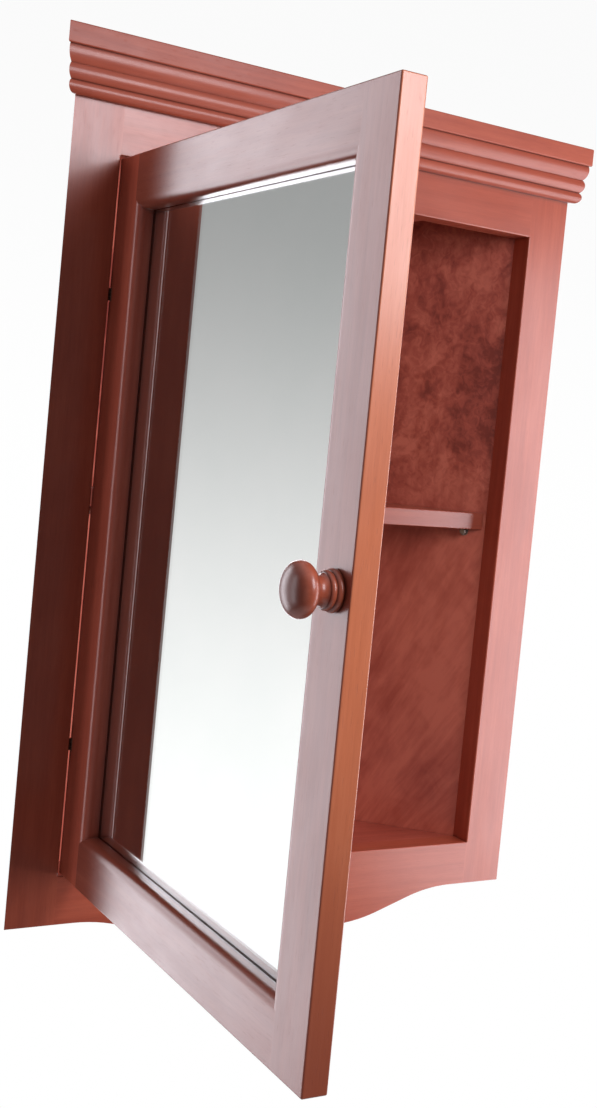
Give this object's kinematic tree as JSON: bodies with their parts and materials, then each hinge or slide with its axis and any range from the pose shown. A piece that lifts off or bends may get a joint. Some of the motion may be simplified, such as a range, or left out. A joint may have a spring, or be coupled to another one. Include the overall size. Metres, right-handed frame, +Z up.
{
  "type": "corner medicine cabinet",
  "caption": "Wall corner cabinet in stained wood with an inset mirrored door, turned knob, beaded crown, triangular shelf and curved apron; door shown open.",
  "frame": {"origin": "the vertical line where the two room walls meet, at the height of the feet of the face frame stiles", "axes": "+Z up, +Y into the room corner, so the door and face frame look along -Y; +X to the right of someone facing the cabinet"},
  "size_m": [0.454, 0.5668, 0.6362],
  "materials": {
    "cherry_lacquer": "clear satin lacquer over a red-brown cherry stain",
    "figured_ply": "figured veneer on plywood, red-brown stain, satin lacquer",
    "inside_wood": "red-brown stain, satin lacquer",
    "dowel_wood": "plain beech",
    "mirror": "silvered float glass",
    "hardboard": "smooth-faced brown hardboard",
    "hinge_bronze": "dark antique bronze",
    "plated_steel": "zinc plated",
    "nickel": "nickel plated",
    "catch_plastic": "brown moulded plastic",
    "ferrite": "bare grey-black ferrite"
  },
  "bodies": {
    "cabinet": {"back_panel_left": "figured_ply", "back_panel_right": "figured_ply", "bottom_board": "inside_wood", "catch_block": "inside_wood", "catch_housing": "catch_plastic", "catch_magnet": "ferrite", "catch_pole_plates": "plated_steel", "catch_screws": "plated_steel", "crown_moulding": "cherry_lacquer", "face_frame_bottom_rail": "cherry_lacquer", "face_frame_dowels": "dowel_wood", "face_frame_left_stile": "cherry_lacquer", "face_frame_right_stile": "cherry_lacquer", "face_frame_top_rail": "cherry_lacquer", "hinge_frame_screws": "hinge_bronze", "hinge_lower_frame_leaf": "hinge_bronze", "hinge_lower_pin": "hinge_bronze", "hinge_upper_frame_leaf": "hinge_bronze", "hinge_upper_pin": "hinge_bronze", "panel_nails": "plated_steel", "shelf": "inside_wood", "shelf_pins": "nickel", "top_board": "cherry_lacquer", "top_board_screws": "plated_steel"},
    "door": {"backing_screws": "plated_steel", "catch_strike_plate": "plated_steel", "catch_strike_screw": "plated_steel", "door_bottom_rail": "cherry_lacquer", "door_dowels": "dowel_wood", "door_hinge_stile": "cherry_lacquer", "door_knob_stile": "cherry_lacquer", "door_top_rail": "cherry_lacquer", "hinge_door_screws": "hinge_bronze", "hinge_lower_door_leaf": "hinge_bronze", "hinge_upper_door_leaf": "hinge_bronze", "knob": "cherry_lacquer", "knob_screw": "plated_steel", "mirror_backing": "hardboard", "mirror_glass": "mirror"}
  },
  "joints": [
    {"name": "door_hinge", "type": "hinge", "parent": "cabinet", "child": "door", "pos_m": [-0.1758, -0.2134, 0.28475], "axis": [0, 0, 1], "range_deg": [-28.5, 91.5]}
  ]
}
